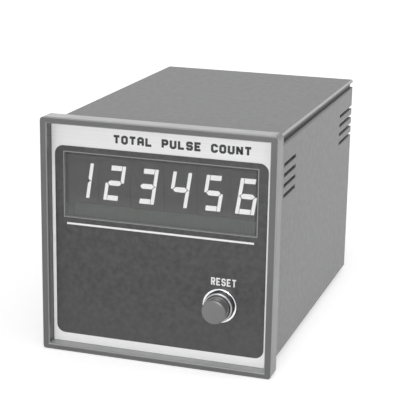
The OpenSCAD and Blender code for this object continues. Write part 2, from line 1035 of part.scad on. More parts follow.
// Header strip with right-angle pins from the display board to the power board
module board_link() {
    color("#2c2c2e")
        translate([-link_pins * pin_pitch / 2, link_y - link_body_w / 2, power_board_z])
            cube([link_pins * pin_pitch, link_body_w, link_body_h]);
    color("#c9a94f")
        for (i = [0:link_pins - 1]) {
            along_y(board_front_y - pin_tail, link_y)
                translate([at_link(i), link_z])
                    square(pin_w, center = true);
            translate([at_link(i) - pin_w / 2, link_y - pin_w / 2, power_board_z - board_t - pin_tail])
                cube([pin_w, pin_w, board_t + pin_tail + link_body_h / 2]);
        }
}

// Calls its children at each leg of a chip lying along X, in X and Z
module at_legs(pins, row) {
    for (i = [0:pins / 2 - 1], side = [-1, 1])
        translate([(i - (pins / 2 - 1) / 2) * pin_pitch, side * row / 2])
            children();
}

module at_chip_pins() {
    translate([counter_chip_x, counter_chip_z])
        at_legs(counter_chip_pins, counter_chip_row)
            children();
    for (side = [-1, 1])
        translate([side * driver_chip_x, driver_chip_z])
            at_legs(driver_chip_pins, driver_chip_row)
                children();
}

// Moulded chip body with its legs bent down through the board
module chip(pins, row) {
    body_y = board_rear_y + chip_stand;
    body_w = row - 2 * chip_inset;
    color("#29292b")
        along_y(body_y, body_y + chip_h)
            square([pins / 2 * pin_pitch, body_w], center = true);
    color("silver")
        along_y(board_front_y - pin_tail / 2, body_y + chip_h / 2)
            at_legs(pins, row)
                square(pin_w, center = true);
    color("silver")
        along_y(body_y + chip_h / 2 - pin_w, body_y + chip_h / 2)
            at_legs(pins, row + pin_w - shoulder_l)
                square([2 * pin_w, shoulder_l], center = true);
}

module counter_chip() {
    translate([counter_chip_x, 0, counter_chip_z])
        chip(counter_chip_pins, counter_chip_row);
}

module driver_chips() {
    for (side = [-1, 1])
        translate([side * driver_chip_x, 0, driver_chip_z])
            chip(driver_chip_pins, driver_chip_row);
}

// Laminated core with two windows
module transformer_core() {
    color("#5a5b5d")
        along_y(core_y - core_t / 2, core_y + core_t / 2)
            translate([core_x, core_base_z + core_h / 2])
                difference() {
                    square([core_w, core_h], center = true);
                    for (side = [-1, 1])
                        translate([side * (leg_w + core_window_w) / 2, 0])
                            square([core_window_w, core_window_h], center = true);
                }
}

// Rectangle in X and Y round the core's middle leg, grown by room
module leg_outline(room) {
    square([leg_w + 2 * room, core_t + 2 * room], center = true);
}

// Bobbin round the middle leg, with flanges at both ends
module transformer_bobbin() {
    inner = bobbin_gap;
    outer = bobbin_gap + bobbin_wall;
    flange = core_window_w - bobbin_gap;
    color("#d8d4c8")
        translate([core_x, core_y, window_base_z + bobbin_gap])
            difference() {
                union() {
                    linear_extrude(height = core_window_h - 2 * bobbin_gap)
                        leg_outline(outer);
                    for (z = [0, core_window_h - 2 * bobbin_gap - bobbin_flange])
                        translate([0, 0, z])
                            linear_extrude(height = bobbin_flange)
                                leg_outline(flange);
                }
                translate([0, 0, -cut])
                    linear_extrude(height = core_window_h + 2 * cut)
                        leg_outline(inner);
            }
    color("silver")
        at_bobbin_pins()
            lead(window_base_z + bobbin_gap - power_board_z + bobbin_flange / 2);
}

// Calls its children at each pin of the bobbin, on the power board
module at_bobbin_pins() {
    for (i = [0:bobbin_pins - 1], side = [-1, 1])
        translate([
            core_x + (i - (bobbin_pins - 1) / 2) * bobbin_pin_pitch,
            core_y + side * bobbin_pin_y,
            power_board_z
        ])
            children();
}

// Copper winding between the bobbin's flanges
module transformer_winding() {
    inner = bobbin_gap + bobbin_wall;
    outer = core_window_w - 2 * bobbin_gap;
    color("#a8643c")
        translate([core_x, core_y, window_base_z + bobbin_gap + bobbin_flange])
            linear_extrude(height = core_window_h - 2 * bobbin_gap - 2 * bobbin_flange)
                difference() {
                    leg_outline(outer);
                    leg_outline(inner);
                }
}

// Calls its children at each lead that goes through the power board
module at_power_leads() {
    for (i = [0:link_pins - 1])
        translate([at_link(i), link_y, power_board_z])
            children();
    for (y = capacitor_y, side = [-1, 1])
        translate([capacitor_x + side * lead_bore, y, power_board_z])
            children();
    for (x = diode_x, side = [-1, 1])
        translate([x, diode_y + side * diode_span / 2, power_board_z])
            children();
    for (i = [-1:1])
        translate([regulator_x + i * pin_pitch, regulator_y, power_board_z])
            children();
    at_bobbin_pins()
        children();
}

// Square lead from z0 down through the power board
module lead(z0) {
    translate([-pin_w / 2, -pin_w / 2, -board_t - pin_tail])
        cube([pin_w, pin_w, z0 + board_t + pin_tail]);
}

// Can capacitors with the rolled groove near the base
module smoothing_capacitors() {
    for (y = capacitor_y)
        translate([capacitor_x, y, power_board_z]) {
            color("#33445a")
                rotate_extrude()
                    difference() {
                        square([capacitor_r, capacitor_h]);
                        translate([capacitor_r + groove_r - groove_d, groove_z])
                            circle(r = groove_r);
                    }
            color("silver")
                for (side = [-1, 1])
                    translate([side * lead_bore, 0, 0])
                        lead(lead_seat);
        }
}

// Axial diodes with bent leads
module rectifier_diodes() {
    diode_z = diode_r;
    for (x = diode_x)
        translate([x, diode_y, power_board_z]) {
            color("#29292b")
                translate([0, 0, diode_z])
                    rod(diode_r, -diode_l / 2, diode_l / 2);
            color("silver") {
                translate([-pin_w / 2, -diode_span / 2 - pin_w / 2, diode_z - pin_w / 2])
                    cube([pin_w, diode_span + pin_w, pin_w]);
                for (side = [-1, 1])
                    translate([0, side * diode_span / 2, 0])
                        lead(diode_z + pin_w / 2);
            }
        }
}

// Three-leg regulator with its tab against the heat sink
module regulator() {
    translate([regulator_x, 0, 0]) {
        color("#29292b")
            translate([-tab_w / 2, tab_front_y - regulator_t, power_board_z + regulator_stand])
                cube([tab_w, regulator_t, regulator_h]);
        color("silver") {
            difference() {
                translate([-tab_w / 2, tab_front_y, power_board_z + regulator_stand])
                    cube([tab_w, tab_t, tab_h]);
                translate([0, 0, regulator_hole_z])
                    rod(screw_r + hole_clearance, tab_front_y - cut, sink_y + cut);
            }
            for (i = [-1:1])
                translate([i * pin_pitch, regulator_y, power_board_z])
                    lead(regulator_stand + leg_entry);
        }
    }
}

// Extruded heat sink standing on the board, fins to the rear
module heatsink() {
    color("#3a3b3d")
        difference() {
            translate([regulator_x, sink_y, power_board_z])
                linear_extrude(height = heatsink_h) {
                    translate([-heatsink_w / 2, 0])
                        square([heatsink_w, heatsink_t]);
                    for (i = [0:heatsink_fins - 1])
                        translate([i * fin_pitch - heatsink_w / 2, 0])
                            square([heatsink_t, heatsink_fin]);
                }
            translate([regulator_x, 0, regulator_hole_z])
                rod(screw_r + thread_clearance, sink_y - cut, sink_y + heatsink_t + cut);
        }
}

// Screw that clamps the regulator to the heat sink, head towards the front
module regulator_screw() {
    color("silver")
        translate([regulator_x, tab_front_y, regulator_hole_z])
            mirror([0, 1, 0])
                pan_screw(screw_r, tab_t + heatsink_t, screw_head_r, screw_head_h);
}

front_bezel();
fascia_plate();
fascia_overlay();
display_window();
for (i = [0:digit_count - 1]) {
    digit_housing(i);
    lit_segments(i);
    dark_segments(i);
}
digit_pins();
display_board();
board_spacers();
board_screws();
button_ring();
lock_washer();
switch_bushing();
switch_body();
switch_base();
switch_contacts();
button_cap();
plunger();
contact_bridge();
return_spring();
rear_case();
terminal_block();
terminal_plates();
terminal_screws();
terminal_tails();
block_screws();
power_board();
board_link();
counter_chip();
driver_chips();
transformer_core();
transformer_bobbin();
transformer_winding();
smoothing_capacitors();
rectifier_diodes();
regulator();
heatsink();
regulator_screw();
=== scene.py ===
"""Looks of a panel counter: finishes, printed marks, the button's thread and spring, stage and camera."""
import json
import math

import bpy
import numpy as np
from bpy.props import FloatProperty, FloatVectorProperty, IntProperty, PointerProperty
from mathutils import Matrix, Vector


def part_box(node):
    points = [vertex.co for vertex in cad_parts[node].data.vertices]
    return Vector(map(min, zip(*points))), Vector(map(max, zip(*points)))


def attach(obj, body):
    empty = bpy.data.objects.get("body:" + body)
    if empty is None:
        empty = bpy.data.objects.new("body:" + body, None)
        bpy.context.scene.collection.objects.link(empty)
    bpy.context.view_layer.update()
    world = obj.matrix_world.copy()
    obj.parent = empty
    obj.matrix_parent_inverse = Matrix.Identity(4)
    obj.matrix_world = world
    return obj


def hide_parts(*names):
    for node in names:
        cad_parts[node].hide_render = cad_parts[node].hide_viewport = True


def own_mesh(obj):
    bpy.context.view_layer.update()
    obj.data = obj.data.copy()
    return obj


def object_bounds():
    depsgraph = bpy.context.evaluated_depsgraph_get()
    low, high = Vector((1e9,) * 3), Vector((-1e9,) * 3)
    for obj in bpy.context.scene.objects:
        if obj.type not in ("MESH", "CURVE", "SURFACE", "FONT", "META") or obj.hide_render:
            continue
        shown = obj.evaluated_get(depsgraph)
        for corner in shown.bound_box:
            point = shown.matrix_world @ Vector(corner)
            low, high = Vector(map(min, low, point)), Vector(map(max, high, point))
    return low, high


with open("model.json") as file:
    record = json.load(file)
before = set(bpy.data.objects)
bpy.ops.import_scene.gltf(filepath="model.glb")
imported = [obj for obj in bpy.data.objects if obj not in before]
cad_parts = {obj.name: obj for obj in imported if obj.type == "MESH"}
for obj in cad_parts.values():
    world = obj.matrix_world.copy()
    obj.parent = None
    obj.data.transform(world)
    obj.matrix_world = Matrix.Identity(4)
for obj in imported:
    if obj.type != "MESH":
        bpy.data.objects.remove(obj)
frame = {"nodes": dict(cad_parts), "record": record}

bl_info = {
    "name": "Panel Counter Looks",
    "version": (1, 0, 0),
    "blender": (4, 5, 0),
    "location": "View3D > Sidebar > Counter",
    "description": "Finishes, printed marks and stage of a panel counter",
    "category": "Object",
}

CAD_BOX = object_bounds()
MM = 0.001
BODY = "body"

# Height in pixels of the image that the focal length is given for
IMAGE_HEIGHT = 413

# Width over which a mask on a finish fades out
FADE = 0.2 * MM

# Depth below the case's outer faces past which the case is painted darker as shade, and the way from its
# top down to the foot of its grooves
SHADE_INSET = 0.7 * MM
GROOVE_FOOT = 3.6 * MM

# Rise of a lamp's axis from which it counts as steep
STEEP = 0.9

# Place, aim and side of each square lamp, in metres
LAMPS = {
    "top": ((0.05, -0.30, 1.10), (0, 0, 0), 0.9),
    "side": ((1.05, 0.50, 0.35), (0, 0.07, 0), 0.8),
    "front": ((0.02, -1.45, 0.26), (0, 0, 0), 0.5),
    "back": ((-0.45, 1.25, 0.45), (0, 0, 0), 0.7),
}

# Corners of the pieces that the finishes, the printed marks, the thread and the spring are placed by
PLATE_LOW, PLATE_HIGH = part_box("fascia_plate")
FIELD_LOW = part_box("fascia_overlay")[0]
WINDOW_LOW, WINDOW_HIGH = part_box("display_window")
RING_LOW, RING_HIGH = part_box("button_ring")
BUSHING_LOW, BUSHING_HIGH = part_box("switch_bushing")
SPRING_LOW, SPRING_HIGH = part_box("return_spring")
BEZEL_LOW, BEZEL_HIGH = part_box("front_bezel")
CASE_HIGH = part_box("rear_case")[1]
BUTTON_X = (RING_LOW.x + RING_HIGH.x) / 2
BUTTON_Z = (RING_LOW.z + RING_HIGH.z) / 2
BUTTON_AXIS = np.array([BUTTON_X, 0, BUTTON_Z])

# Strokes of the printed capitals on a grid of stroke widths, 4 wide and 6 high
LETTERS = {
    "A": [[(0.5, 0), (0.5, 4.7), (1.3, 5.5), (2.7, 5.5), (3.5, 4.7), (3.5, 0)], [(1, 2.5), (3, 2.5)]],
    "C": [[(3.5, 4), (3.5, 4.7), (2.7, 5.5), (1.3, 5.5), (0.5, 4.7), (0.5, 1.3), (1.3, 0.5), (2.7, 0.5),
           (3.5, 1.3), (3.5, 2)]],
    "E": [[(3.8, 5.5), (0.5, 5.5), (0.5, 0.5), (3.8, 0.5)], [(1, 3), (3.2, 3)]],
    "L": [[(0.5, 6), (0.5, 0.5), (3.8, 0.5)]],
    "N": [[(0.5, 0), (0.5, 6)], [(0.7, 5.3), (3.3, 0.7)], [(3.5, 0), (3.5, 6)]],
    "O": [[(2, 5.5), (1.3, 5.5), (0.5, 4.7), (0.5, 1.3), (1.3, 0.5), (2.7, 0.5), (3.5, 1.3), (3.5, 4.7),
           (2.7, 5.5), (2, 5.5)]],
    "P": [[(0.5, 0), (0.5, 5.5), (2.9, 5.5), (3.5, 4.9), (3.5, 3.3), (2.9, 2.7), (1, 2.7)]],
    "R": [[(0.5, 0), (0.5, 5.5), (2.9, 5.5), (3.5, 4.9), (3.5, 3.5), (2.9, 2.9), (1, 2.9)],
          [(2.3, 2.4), (3.4, 0)]],
    "S": [[(3.5, 4.2), (3.5, 4.9), (2.9, 5.5), (1.1, 5.5), (0.5, 4.9), (0.5, 3.6), (1.1, 3), (2.9, 3),
           (3.5, 2.4), (3.5, 1.1), (2.9, 0.5), (1.1, 0.5), (0.5, 1.1), (0.5, 1.8)]],
    "T": [[(0, 5.5), (4, 5.5)], [(2, 5), (2, 0)]],
    "U": [[(0.5, 6), (0.5, 1.3), (1.3, 0.5), (2.7, 0.5), (3.5, 1.3), (3.5, 6)]],
}
LETTER_COLUMNS = 4
LETTER_ROWS = 6
LETTER_GAP = 1.5


class CounterFinishSettings(bpy.types.PropertyGroup):
    """Colours and gloss that a user would change."""

    bezel: FloatVectorProperty(
        name="Bezel", description="Grey of the bezel moulding", subtype="COLOR",
        default=(0.11, 0.11, 0.112), min=0, max=1)
    case: FloatVectorProperty(
        name="Case", description="Grey of the case moulding", subtype="COLOR",
        default=(0.28, 0.28, 0.282), min=0, max=1)
    plate: FloatVectorProperty(
        name="Plate", description="Silver of the fascia plate", subtype="COLOR",
        default=(0.78, 0.78, 0.78), min=0, max=1)
    overlay: FloatVectorProperty(
        name="Overlay", description="Dark film on the plate", subtype="COLOR",
        default=(0.045, 0.045, 0.046), min=0, max=1)
    window: FloatVectorProperty(
        name="Window", description="Tint of the display window", subtype="COLOR",
        default=(0.19, 0.19, 0.192), min=0, max=1)
    window_cover: FloatProperty(
        name="Window cover", description="Share of the light that each face of the window stops",
        subtype="FACTOR", default=0.35, min=0, max=1)
    button: FloatVectorProperty(
        name="Button", description="Grey of the button cap", subtype="COLOR",
        default=(0.135, 0.135, 0.137), min=0, max=1)
    digit_glow: FloatProperty(
        name="Digit glow", description="Light that the lit segments give off",
        default=1.35, min=0, max=10)
    ink_white: FloatVectorProperty(
        name="White ink", description="Rule and lettering on the overlay", subtype="COLOR",
        default=(0.85, 0.85, 0.85), min=0, max=1)
    # The light line round the window is a painted highlight of the window's edge.
    window_edge_highlight: FloatVectorProperty(
        name="Grey ink", description="Outline round the window", subtype="COLOR",
        default=(0.26, 0.26, 0.26), min=0, max=1)
    ink_black: FloatVectorProperty(
        name="Black ink", description="Lettering on the plate", subtype="COLOR",
        default=(0.02, 0.02, 0.02), min=0, max=1)


class CounterPrintSettings(bpy.types.PropertyGroup):
    """Sizes and places of the printed marks and of the painted highlight round the window, in metres."""

    ink_height: FloatProperty(
        name="Ink height", description="How far the ink stands on its surface", unit="LENGTH",
        default=0.06 * MM, min=0.01 * MM, max=0.2 * MM)
    rule_width: FloatProperty(
        name="Rule width", description="Height of the white rule below the window", unit="LENGTH",
        default=0.8 * MM, min=0.2 * MM, max=2 * MM)
    rule_drop: FloatProperty(
        name="Rule drop", description="From the window's lower edge to the rule's middle", unit="LENGTH",
        default=2.92 * MM, min=0.5 * MM, max=6 * MM)
    rule_inset: FloatProperty(
        name="Rule inset", description="How far the rule stops inside the window's sides", unit="LENGTH",
        default=0.75 * MM, min=0, max=10 * MM)
    outline_width: FloatProperty(
        name="Outline width", description="Width of the line round the window", unit="LENGTH",
        default=0.4 * MM, min=0.1 * MM, max=1 * MM)
    outline_gap: FloatProperty(
        name="Outline gap", description="Overlay left between the window and its outline", unit="LENGTH",
        default=0.1 * MM, min=0, max=1 * MM)
    window_flange: FloatProperty(
        name="Window flange", description="Window hidden behind the plate at each side", unit="LENGTH",
        default=1.0 * MM, min=0, max=3 * MM)
    reset_height: FloatProperty(
        name="Button word height", description="Height of the capitals above the button", unit="LENGTH",
        default=3.0 * MM, min=1 * MM, max=6 * MM)
    reset_width: FloatProperty(
        name="Button word width", description="Length of the word above the button", unit="LENGTH",
        default=10.0 * MM, min=4 * MM, max=20 * MM)
    reset_rise: FloatProperty(
        name="Button word rise", description="From the button's axis to the word's middle", unit="LENGTH",
        default=9.25 * MM, min=8 * MM, max=20 * MM)
    reset_offset: FloatProperty(
        name="Button word offset", description="Word's middle to the right of the button's axis",
        unit="LENGTH", default=1.0 * MM, min=-10 * MM, max=10 * MM)
    reset_weight: FloatProperty(
        name="Button stroke weight", description="Stroke width of the word, in parts of its grid",
        default=1.45, min=0.5, max=2.5)
    header_height: FloatProperty(
        name="Header height", description="Height of the header's capitals", unit="LENGTH",
        default=3.05 * MM, min=1 * MM, max=6 * MM)
    header_width: FloatProperty(
        name="Header width", description="Length of the header's words", unit="LENGTH",
        default=55.1 * MM, min=20 * MM, max=80 * MM)
    header_offset: FloatProperty(
        name="Header offset", description="Header's middle to the right of the plate's", unit="LENGTH",
        default=8.8 * MM, min=-20 * MM, max=20 * MM)
    header_drop: FloatProperty(
        name="Header drop", description="From the plate's top to the header's middle", unit="LENGTH",
        default=4.9 * MM, min=2 * MM, max=8 * MM)
    header_weight: FloatProperty(
        name="Header stroke weight", description="Stroke width of the header, in parts of its grid",
        default=1.85, min=0.5, max=2.5)


class CounterThreadSettings(bpy.types.PropertyGroup):
    """Sizes of the threaded bushing, in metres."""

    thread_radius: FloatProperty(
        name="Thread radius", description="Outside radius of the thread", unit="LENGTH",
        default=5.8 * MM, min=5 * MM, max=8 * MM)
    thread_depth: FloatProperty(
        name="Thread depth", description="Depth of the thread", unit="LENGTH",
        default=0.3 * MM, min=0.05 * MM, max=0.6 * MM)
    thread_pitch: FloatProperty(
        name="Thread pitch", description="Distance between turns", unit="LENGTH",
        default=0.75 * MM, min=0.3 * MM, max=2 * MM)
    bore_radius: FloatProperty(
        name="Bore radius", description="Radius of the bore that the cap runs in", unit="LENGTH",
        default=5.2 * MM, min=4 * MM, max=6 * MM)
    flange: FloatProperty(
        name="Flange", description="Thickness of the flange at the rear", unit="LENGTH",
        default=2.0 * MM, min=0.5 * MM, max=4 * MM)
    lead_in: FloatProperty(
        name="Lead-in", description="Chamfer at the bushing's front", unit="LENGTH",
        default=0.3 * MM, min=0.05 * MM, max=0.6 * MM)


class CounterSpringSettings(bpy.types.PropertyGroup):
    """Sizes of the return spring, in metres."""

    wire_radius: FloatProperty(
        name="Wire radius", description="Radius of the spring's wire", unit="LENGTH",
        default=0.3 * MM, min=0.1 * MM, max=0.6 * MM)
    turns: IntProperty(
        name="Turns", description="Turns of the spring", default=6, min=3, max=10)


class CounterStageSettings(bpy.types.PropertyGroup):
    """Camera and light."""

    eye: FloatVectorProperty(
        name="Eye", description="Camera's place", subtype="TRANSLATION", unit="LENGTH",
        default=(168.08 * MM, -465.39 * MM, 154.15 * MM))
    pitch: FloatProperty(
        name="Pitch", description="Camera's tilt above the horizon", subtype="ANGLE",
        default=math.radians(-15.71))
    roll: FloatProperty(
        name="Roll", description="Camera's roll", subtype="ANGLE", default=math.radians(-0.99))
    yaw: FloatProperty(
        name="Yaw", description="Camera's turn to the left of straight ahead", subtype="ANGLE",
        default=math.radians(17.94))
    focal_pixels: FloatProperty(
        name="Focal length", description="Focal length in pixels of the image", default=1325.8, min=100)
    fill: FloatProperty(
        name="Fill", description="Light from all round, where 1 shows a colour as it is written",
        default=0.28, min=0, max=2)
    top_power: FloatProperty(
        name="Top light", description="Power of the soft light above", unit="POWER", default=4.2, min=0)
    side_power: FloatProperty(
        name="Side light", description="Power of the soft light at the right rear", unit="POWER",
        default=5.5, min=0)
    front_power: FloatProperty(
        name="Front light", description="Power of the soft light in front", unit="POWER",
        default=9.8, min=0)
    back_power: FloatProperty(
        name="Back light", description="Power of the soft light low behind", unit="POWER",
        default=1.0, min=0)


# Meshes

def grid_faces(rows, columns, close_rows=False, close_columns=False):
    """Quads between neighbours of a grid of points, rows by columns, wrapped round where it is closed."""
    i = np.arange(rows if close_rows else rows - 1)[:, None]
    j = np.arange(columns if close_columns else columns - 1)[None, :]
    i_next = (i + 1) % rows
    j_next = (j + 1) % columns
    corners = [i * columns + j, i * columns + j_next, i_next * columns + j_next, i_next * columns + j]
    return np.stack(corners, axis=-1).reshape(-1, 4)


def mesh_piece(name, slot, points, faces, caps=()):
    """A piece from whole arrays of points and quads, with caps of more sides, riding on the body."""
    mesh = bpy.data.meshes.new(name)
    mesh.from_pydata(points.tolist(), [], faces.tolist() + [cap.tolist() for cap in caps])
    mesh.validate()
    piece = bpy.data.objects.new(name, mesh)
    bpy.context.scene.collection.objects.link(piece)
    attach(piece, BODY)
    return piece


def bar(path, width, low, high, closed=False):
    """A bar of rectangular section carried along a path of (x, z) points, from y = low to y = high.

    At each point the bar's side lies half a width along the mitre, m = (n1 + n2) / (1 + n1.n2), where
    n1 and n2 are the unit normals of the stretches before and after it. Returns points and quads.
    """
    path = np.asarray(path, float)
    ahead = np.roll(path, -1, axis=0) - path
    if not closed:
        ahead[-1] = ahead[-2]
    ahead /= np.linalg.norm(ahead, axis=1, keepdims=True)
    normal = np.stack([-ahead[:, 1], ahead[:, 0]], axis=1)
    before = np.roll(normal, 1, axis=0)
    if not closed:
        before[0] = normal[0]
    mitre = (normal + before) / (1 + np.sum(normal * before, axis=1, keepdims=True))
    left = path + mitre * width / 2
    right = path - mitre * width / 2
    across = np.stack([left, right, right, left], axis=1)
    depth = np.broadcast_to(np.array([low, low, high, high]), across.shape[:2])
    points = np.stack([across[..., 0], depth, across[..., 1]], axis=-1)
    count = len(path)
    faces = grid_faces(count, 4, close_rows=closed, close_columns=True)
    if not closed:
        end = np.arange(4)
        faces = np.vstack([faces, end[::-1], end + 4 * (count - 1)])
    return points.reshape(-1, 3), faces


def coil(radius, low, high, settings, steps=48, sides=16):
    """A round wire wound about the Y axis from y = low to y = high, as a grid of turns by wire angle.

    At turn angle a and wire angle b, with wire radius w, the distance from the axis is R + w cos b, and
    y climbs evenly with a from low + w to high - w, plus w sin b. Returns points, quads and caps.
    """
    wire, rows = settings.wire_radius, settings.turns * steps + 1
    part = np.linspace(0, 1, rows)[:, None]
    around = 2 * math.pi * settings.turns * part
    section = np.linspace(0, 2 * math.pi, sides, endpoint=False)[None, :]
    reach = radius + wire * np.cos(section)
    climb = low + wire + (high - low - 2 * wire) * part + wire * np.sin(section)
    points = np.stack([reach * np.cos(around), climb, reach * np.sin(around)], axis=-1)
    end = np.arange(sides)
    caps = [end[::-1], end + (rows - 1) * sides]
    return points.reshape(-1, 3), grid_faces(rows, sides, close_columns=True), caps


def joined(parts):
    """Several (points, quads) pairs as one, each part's quads counted on from the parts before it."""
    starts = np.cumsum([0] + [len(points) for points, _ in parts])
    points = np.concatenate([points for points, _ in parts])
    return points, np.concatenate([faces + start for (_, faces), start in zip(parts, starts)])


def word_bars(text, middle, length, height, weight, low, high):
    """Bars for a line of capitals, spread evenly over a length about the middle (x, z).

    A capital's grid is a stroke's width a unit, with x scaled so that a letter and the space after
    it, one and a half strokes, share the line evenly, and z scaled to the height. The weight widens
    the strokes. Returns points and quads.
    """
    step = LETTER_COLUMNS + LETTER_GAP
    columns = len(text) * step - LETTER_GAP
    scale = np.array([length / columns, height / LETTER_ROWS])
    start = np.array(middle) - np.array([length, height]) / 2
    parts = []
    for place, letter in enumerate(text):
        for stroke in LETTERS.get(letter, []):
            path = (np.array(stroke) + [place * step, 0]) * scale + start
            parts.append(bar(path, weight * min(scale), low, high))
    return joined(parts)


def threaded_sleeve(front, rear, flange_radius, settings, sides=128, steps=90):
    """A flanged bushing about the Y axis, as a closed grid of profile points by angle.

    Its profile runs along the bore, over the chamfer and down the thread to the flange. On the thread
    r = R - d (1 - cos(2 pi (y / p - a / 2 pi))) / 2 at angle a, and the depth d fades to nothing over
    one pitch p at both ends. Returns points and quads.
    """
    radius, bore, lead = settings.thread_radius, settings.bore_radius, settings.lead_in
    seat = rear - settings.flange
    y_thread = np.linspace(front + lead, seat, steps)
    y = np.concatenate([[rear, front, front], y_thread, [seat, rear]])
    r = np.concatenate([[bore, bore, radius - lead], np.full(steps, radius), [flange_radius] * 2])
    fade = np.clip(np.minimum(y - front - lead, seat - y) / settings.thread_pitch, 0, 1)
    depth = np.zeros(len(y))
    thread = slice(3, 3 + steps)
    depth[thread] = settings.thread_depth * fade[thread]
    angle = np.linspace(0, 2 * math.pi, sides, endpoint=False)
    wave = np.cos(2 * math.pi * y[:, None] / settings.thread_pitch - angle[None, :])
    around = r[:, None] - depth[:, None] * (1 - wave) / 2
    points = np.stack([
        around * np.cos(angle),
        np.broadcast_to(y[:, None], around.shape),
        around * np.sin(angle),
    ], axis=-1)
    faces = grid_faces(len(y), sides, close_rows=True, close_columns=True)
    return points.reshape(-1, 3), faces[:, ::-1]


# Finishes

def shade(colour, share):
    """A colour times a share, lighter above 1 and darker below."""
    return tuple(share * c for c in colour)


class Finish:
    """A material with its shader and the object's own coordinates, and the nodes that vary it."""

    def __init__(self, name):
        self.material = bpy.data.materials.new(name)
        self.material.use_nodes = True
        self.tree = self.material.node_tree
        self.shader = self.tree.nodes["Principled BSDF"]
        self.place = self.tree.nodes.new("ShaderNodeTexCoord").outputs["Object"]

    def set(self, **sockets):
        """Sets constants on the shader's own sockets, with spaces in their names as underscores."""
        for name, value in sockets.items():
            if isinstance(value, tuple):
                value = (*value, 1.0)[:4]
            self.shader.inputs[name.replace("_", " ")].default_value = value
        return self

    def link(self, output, socket):
        """Joins an output to a socket."""
        self.tree.links.new(output, socket)

    def stretched(self, scale):
        """The object's coordinates in metres times a scale for each axis."""
        node = self.tree.nodes.new("ShaderNodeMapping")
        node.inputs["Scale"].default_value = scale
        self.link(self.place, node.inputs["Vector"])
        return node.outputs["Vector"]

    def noise(self, scale, detail=2.0):
        """Noise of 0 to 1 with features of about 1 / scale metres along each axis."""
        node = self.tree.nodes.new("ShaderNodeTexNoise")
        node.inputs["Scale"].default_value = 1.0
        node.inputs["Detail"].default_value = detail
        self.link(self.stretched(scale), node.inputs["Vector"])
        return node.outputs["Fac"]

    def stripes(self, scale, direction):
        """Sine stripes of 0 to 1 across one axis."""
        node = self.tree.nodes.new("ShaderNodeTexWave")
        node.bands_direction = direction
        node.inputs["Scale"].default_value = 1.0
        node.inputs["Distortion"].default_value = 0.0
        self.link(self.stretched(scale), node.inputs["Vector"])
        return node.outputs["Fac"]

    def axis(self, letter):
        """One of the object's coordinates, in metres."""
        node = self.tree.nodes.new("ShaderNodeSeparateXYZ")
        self.link(self.place, node.inputs["Vector"])
        return node.outputs[letter]

    def math(self, operation, *values):
        """A math node on outputs and numbers."""
        node = self.tree.nodes.new("ShaderNodeMath")
        node.operation = operation
        for socket, value in zip(node.inputs, values):
            if isinstance(value, (int, float)):
                socket.default_value = value
            else:
                self.link(value, socket)
        return node.outputs["Value"]

    def square_radius(self):
        """Distance from the Y axis in the square sense, max(|x|, |z|)."""
        return self.math(
            "MAXIMUM", self.math("ABSOLUTE", self.axis("X")), self.math("ABSOLUTE", self.axis("Z")))

    def ranged(self, value, low, high, start=0.25, stop=0.75):
        """A value from start to stop spread over low to high."""
        node = self.tree.nodes.new("ShaderNodeMapRange")
        node.inputs["From Min"].default_value = start
        node.inputs["From Max"].default_value = stop
        node.inputs["To Min"].default_value = low
        node.inputs["To Max"].default_value = high
        self.link(value, node.inputs["Value"])
        return node.outputs["Result"]

    def both(self, first, second):
        """A mask that is 1 where two others are."""
        return self.math("MULTIPLY", first, second)

    def band(self, value, low, high):
        """A mask that is 1 where a length is from low to high, faded out beyond both."""
        rise = self.ranged(value, 0, 1, low - FADE, low)
        return self.both(rise, self.ranged(value, 1, 0, high, high + FADE))

    def mottle(self, colour, spread, value):
        """Base colour from a little darker to a little lighter than the given one."""
        node = self.tree.nodes.new("ShaderNodeValToRGB")
        node.color_ramp.elements[0].position = 0.3
        node.color_ramp.elements[1].position = 0.7
        node.color_ramp.elements[0].color = (*shade(colour, 1 - spread), 1)
        node.color_ramp.elements[1].color = (*(min(1, c * (1 + spread)) for c in colour), 1)
        self.link(value, node.inputs["Fac"])
        self.link(node.outputs["Color"], self.shader.inputs["Base Color"])
        return self

    def tinge(self, colour, mask):
        """Another base colour where a 0 to 1 mask is 1."""
        socket = self.shader.inputs["Base Color"]
        node = self.tree.nodes.new("ShaderNodeMix")
        node.data_type = "RGBA"
        self.link(socket.links[0].from_socket, node.inputs["A"])
        node.inputs["B"].default_value = (*colour, 1)
        self.link(mask, node.inputs["Factor"])
        self.link(node.outputs["Result"], socket)
        return self

    def rough(self, low, high, value):
        """Roughness from low to high with a value of 0 to 1."""
        self.link(self.ranged(value, low, high), self.shader.inputs["Roughness"])
        return self

    def bump(self, value, depth):
        """Surface relief of a depth in metres."""
        node = self.tree.nodes.new("ShaderNodeBump")
        node.inputs["Strength"].default_value = 1.0
        node.inputs["Distance"].default_value = depth
        self.link(value, node.inputs["Height"])
        self.link(node.outputs["Normal"], self.shader.inputs["Normal"])
        return self


def moulding(name, colour, roughness, grain=1 / (0.5 * MM), depth=0.01 * MM, spread=0.06, clouds=60):
    """Moulded plastic: cloudy colour, a fine spark-eroded grain and uneven gloss."""
    uneven = 0.05
    finish = Finish(name)
    cloud = finish.noise((clouds, clouds, clouds), 3)
    fine = finish.noise((grain, grain, grain), 3)
    finish.mottle(colour, spread, cloud)
    finish.rough(roughness - uneven, roughness + uneven, cloud)
    return finish.bump(fine, depth)


def metal(name, colour, roughness, streak=(900, 900, 900), spread=0.05, depth=0.002 * MM):
    """Bare or plated metal with fine streaks that are long where the streak scale is small."""
    uneven, smoothest = 0.06, 0.02
    finish = Finish(name)
    lines = finish.noise(streak, 3)
    finish.mottle(colour, spread, lines)
    finish.rough(max(smoothest, roughness - uneven), roughness + uneven, lines)
    finish.bump(lines, depth)
    return finish.set(Metallic=1.0)


